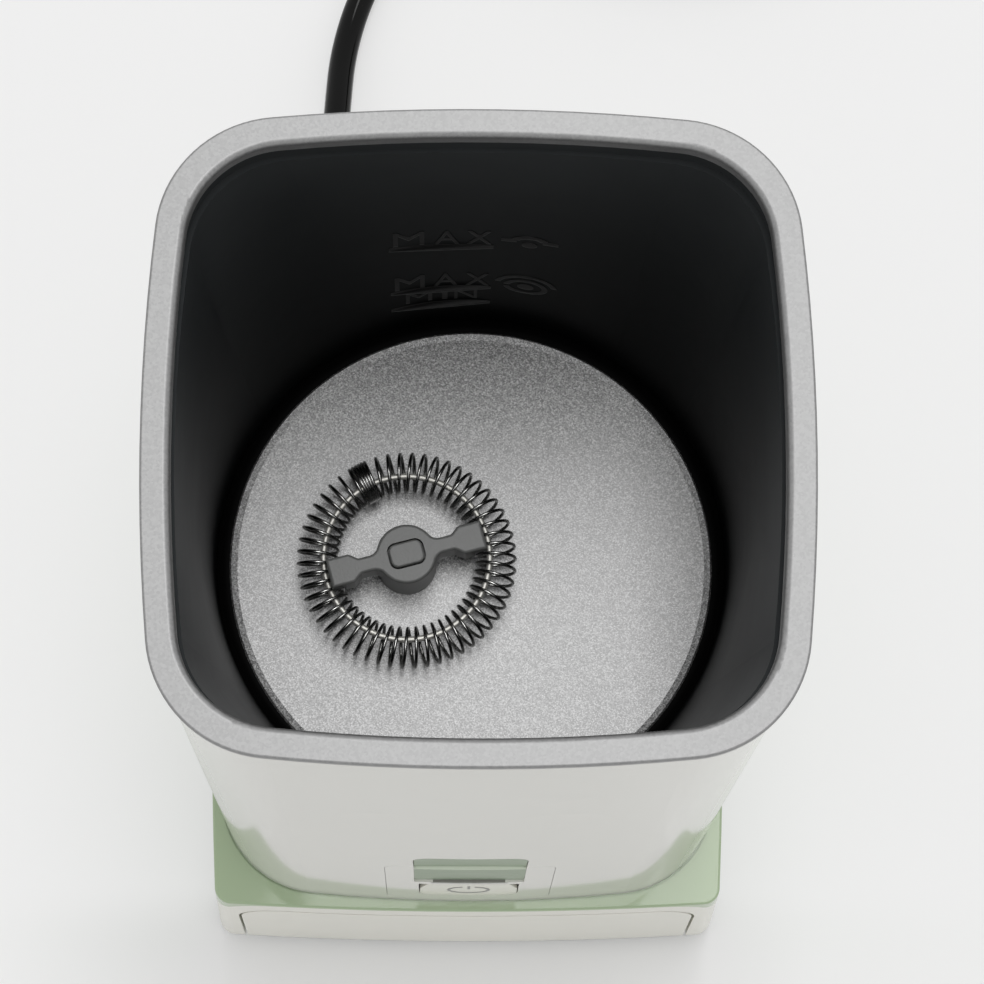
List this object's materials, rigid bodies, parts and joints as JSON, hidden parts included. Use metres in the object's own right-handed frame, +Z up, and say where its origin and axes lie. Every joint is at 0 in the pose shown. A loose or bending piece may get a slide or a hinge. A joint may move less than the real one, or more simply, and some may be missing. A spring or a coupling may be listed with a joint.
{
  "type": "milk frother",
  "caption": "Free-standing electric milk frother: a heated rounded-square vessel in a white jacket on a plastic base, with a lift-out spring whisk turned by magnets and a push button.",
  "frame": {"origin": "on the surface it stands on, under the middle of the base", "axes": "+Z up along the body, -Y towards the button and the front panel, +X to the right seen from the front"},
  "size_m": [0.126, 0.2871, 0.174],
  "materials": {
    "rim_metal": "satin light grey metal",
    "white_enamel": "gloss off-white enamel on sheet steel",
    "white_plastic": "gloss off-white plastic",
    "black_coating": "semi-gloss black non-stick coating",
    "grey_coating": "speckled metallic grey non-stick coating",
    "seal_rubber": "matt dark rubber",
    "plain_steel": "plain zinc-plated steel",
    "brass": "plain brass",
    "white_ceramic": "white ceramic",
    "nickel": "bright nickel plate",
    "grey_plastic": "moulded grey plastic",
    "dark_plastic": "satin dark grey plastic",
    "spring_steel": "bright spring wire",
    "cream_plastic": "gloss pale cream plastic",
    "smoked_plastic": "smoked clear plastic",
    "board_laminate": "green circuit laminate",
    "green_plastic": "gloss pastel green plastic",
    "black_flex": "gloss black flexible plastic"
  },
  "bodies": {
    "frother": {"rim_ring": "rim_metal", "body_shell": "white_enamel", "vessel": "black_coating", "heating_plate": "grey_coating", "plate_seal": "seal_rubber", "plate_nuts": "plain_steel", "heating_element": "plain_steel", "heater_terminals": "brass", "thermostat": "white_ceramic", "thermal_fuse": "white_ceramic", "motor": "plain_steel", "motor_bracket": "plain_steel", "motor_screws": "plain_steel", "bracket_bushes": "seal_rubber", "bracket_screws": "plain_steel", "button_plate": "white_plastic", "finger_rest": "green_plastic", "light_bar": "smoked_plastic", "switch_board": "board_laminate", "switch_screws": "plain_steel", "tact_switch": "grey_plastic", "base_housing": "green_plastic", "base_fascia": "cream_plastic", "front_panel": "cream_plastic", "tie_rods": "plain_steel", "tie_nuts": "plain_steel", "bottom_cover": "grey_plastic", "cover_screws": "plain_steel", "rubber_feet": "seal_rubber", "control_board": "board_laminate", "board_screws": "plain_steel", "board_transformer": "grey_plastic", "board_relay": "grey_plastic", "board_capacitor": "grey_plastic", "cord_gland": "black_flex", "power_cord": "black_flex", "cord_coil": "black_flex", "plug_body": "black_flex", "plug_pins": "nickel"},
    "drive": {"motor_shaft": "plain_steel", "magnet_carrier": "grey_plastic", "drive_magnets": "nickel"},
    "whisk": {"whisk_hub": "dark_plastic", "hub_cap": "dark_plastic", "whisk_magnet": "nickel", "whisk_ring": "spring_steel", "whisk_coil": "spring_steel"},
    "button": {"power_button": "cream_plastic", "switch_plunger": "grey_plastic"}
  },
  "joints": [
    {"name": "drive_spin", "type": "hinge", "parent": "frother", "child": "drive", "pos_m": [-0.0106, 0, 0.07], "axis": [0, 0, 1], "continuous": true},
    {"name": "whisk_lift", "type": "slide", "parent": "drive", "child": "whisk", "axis": [0, 0, 1], "range_m": [0, 0.11]},
    {"name": "button_press", "type": "slide", "parent": "frother", "child": "button", "axis": [0, 1, 0], "range_m": [0, 0.001], "stiffness_N_per_m": 1500, "springref_m": -0.0003}
  ]
}
